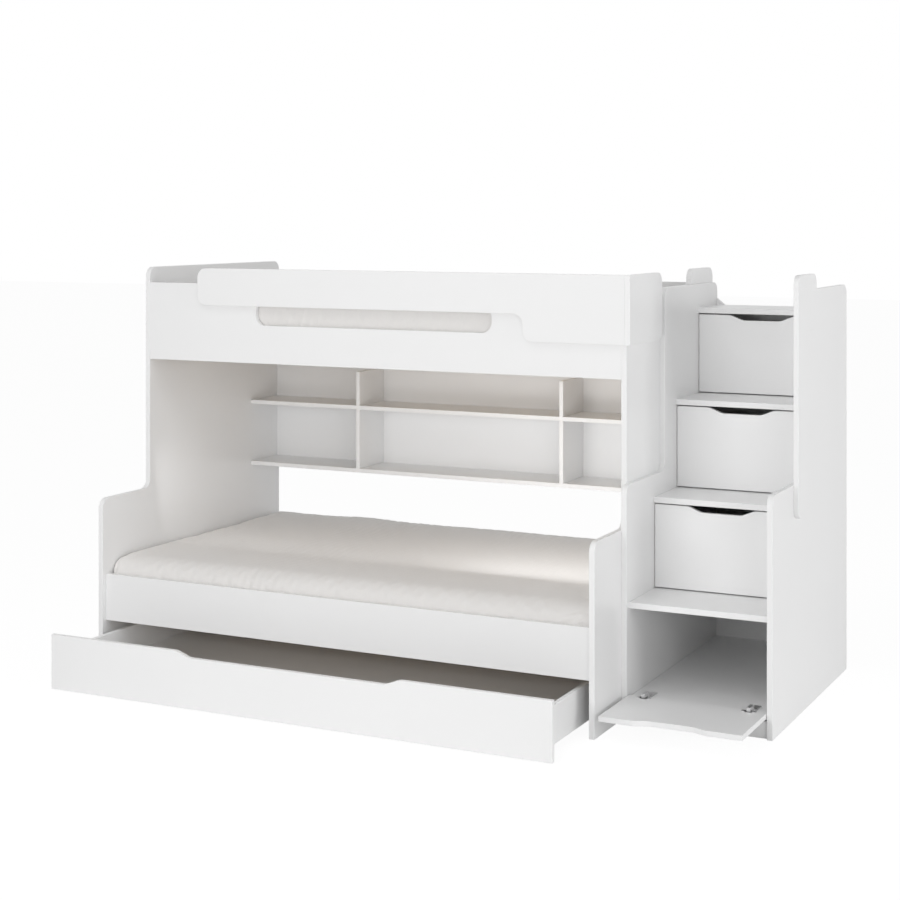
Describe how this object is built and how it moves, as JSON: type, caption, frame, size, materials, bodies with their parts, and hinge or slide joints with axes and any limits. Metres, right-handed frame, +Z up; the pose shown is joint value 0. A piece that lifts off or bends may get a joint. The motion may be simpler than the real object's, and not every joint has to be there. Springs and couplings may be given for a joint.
{
  "type": "bunk bed with storage stairs",
  "caption": "Bunk bed of white board with a wide lower bed, a wall shelf, a rolling drawer and a stair whose steps are boxes with drop-down doors.",
  "frame": {"origin": "on the floor below the middle of the whole bed, the drawer standing part way out and the lowest stair door open", "axes": "+X along the bed from its head panel to the stair, +Y to the wall behind, +Z up"},
  "size_m": [2.598, 1.588, 1.541],
  "materials": {
    "white_board": "satin white lacquer",
    "mattress_cover": "soft pale knit",
    "bare_wood": "sanded",
    "steel": "nickel plated",
    "castor_rubber": "matte"
  },
  "bodies": {
    "bed": {"cam_bolts": "steel", "cam_discs": "steel", "door_1_hinge_arms": "steel", "door_2_hinge_arms": "steel", "door_3_hinge_arms": "steel", "door_4_hinge_arms": "steel", "dowels": "bare_wood", "end_guard_panel": "white_board", "guard_panel": "white_board", "handrail_panel": "white_board", "left_end_panel": "white_board", "lower_back_rail": "white_board", "lower_front_rail": "white_board", "lower_mattress": "mattress_cover", "lower_slat_ledgers": "bare_wood", "lower_slats": "bare_wood", "right_end_panel": "white_board", "screws": "steel", "shelf_back_panel": "white_board", "shelf_divider_lower_left": "white_board", "shelf_divider_lower_right": "white_board", "shelf_divider_upper_left": "white_board", "shelf_divider_upper_right": "white_board", "shelf_lower": "white_board", "shelf_upper": "white_board", "stair_back_panel": "white_board", "stair_floor": "white_board", "stair_plinth": "white_board", "stair_side_left": "white_board", "stair_side_right": "white_board", "tread_1": "white_board", "tread_2": "white_board", "tread_3": "white_board", "tread_4": "white_board", "upper_back_rail": "white_board", "upper_front_rail": "white_board", "upper_mattress": "mattress_cover", "upper_slat_ledgers": "bare_wood", "upper_slats": "bare_wood"},
    "drawer": {"drawer_front": "white_board", "drawer_side_left": "white_board", "drawer_side_right": "white_board", "drawer_back": "white_board", "drawer_bottom": "white_board", "castor_brackets": "steel", "castor_axles": "steel", "drawer_dowels": "bare_wood"},
    "wheel_back_left": {"castor_wheel_back_left": "castor_rubber"},
    "wheel_back_right": {"castor_wheel_back_right": "castor_rubber"},
    "wheel_front_left": {"castor_wheel_front_left": "castor_rubber"},
    "wheel_front_right": {"castor_wheel_front_right": "castor_rubber"},
    "door_1_leaf": {"door_1": "white_board", "door_1_hinge_cups": "steel"},
    "door_2_leaf": {"door_2": "white_board", "door_2_hinge_cups": "steel"},
    "door_3_leaf": {"door_3": "white_board", "door_3_hinge_cups": "steel"},
    "door_4_leaf": {"door_4": "white_board", "door_4_hinge_cups": "steel"}
  },
  "joints": [
    {"name": "drawer_slide", "type": "slide", "parent": "bed", "child": "drawer", "axis": [0, -1, 0], "range_m": [-0.308, 0.742]},
    {"name": "wheel_back_left_roll", "type": "hinge", "parent": "drawer", "child": "wheel_back_left", "pos_m": [-1.171, 0.284, 0.02], "axis": [1, 0, 0], "continuous": true},
    {"name": "wheel_back_right_roll", "type": "hinge", "parent": "drawer", "child": "wheel_back_right", "pos_m": [0.617, 0.284, 0.02], "axis": [1, 0, 0], "continuous": true},
    {"name": "wheel_front_left_roll", "type": "hinge", "parent": "drawer", "child": "wheel_front_left", "pos_m": [-1.171, -0.686, 0.02], "axis": [1, 0, 0], "continuous": true},
    {"name": "wheel_front_right_roll", "type": "hinge", "parent": "drawer", "child": "wheel_front_right", "pos_m": [0.617, -0.686, 0.02], "axis": [1, 0, 0], "continuous": true},
    {"name": "door_1_swing", "type": "hinge", "parent": "bed", "child": "door_1_leaf", "pos_m": [1.013, -0.201, 0.074], "axis": [1, 0, 0], "range_deg": [-90, 0]},
    {"name": "door_2_swing", "type": "hinge", "parent": "bed", "child": "door_2_leaf", "pos_m": [1.013, 0.057, 0.4183], "axis": [1, 0, 0], "range_deg": [0, 90]},
    {"name": "door_3_swing", "type": "hinge", "parent": "bed", "child": "door_3_leaf", "pos_m": [1.013, 0.303, 0.7466], "axis": [1, 0, 0], "range_deg": [0, 90]},
    {"name": "door_4_swing", "type": "hinge", "parent": "bed", "child": "door_4_leaf", "pos_m": [1.013, 0.563, 1.0749], "axis": [1, 0, 0], "range_deg": [0, 90]}
  ],
  "couplings": [
    {"joint": "wheel_back_left_roll", "follows": "drawer_slide", "rad_per_m": 50},
    {"joint": "wheel_back_right_roll", "follows": "drawer_slide", "rad_per_m": 50},
    {"joint": "wheel_front_left_roll", "follows": "drawer_slide", "rad_per_m": 50},
    {"joint": "wheel_front_right_roll", "follows": "drawer_slide", "rad_per_m": 50}
  ]
}
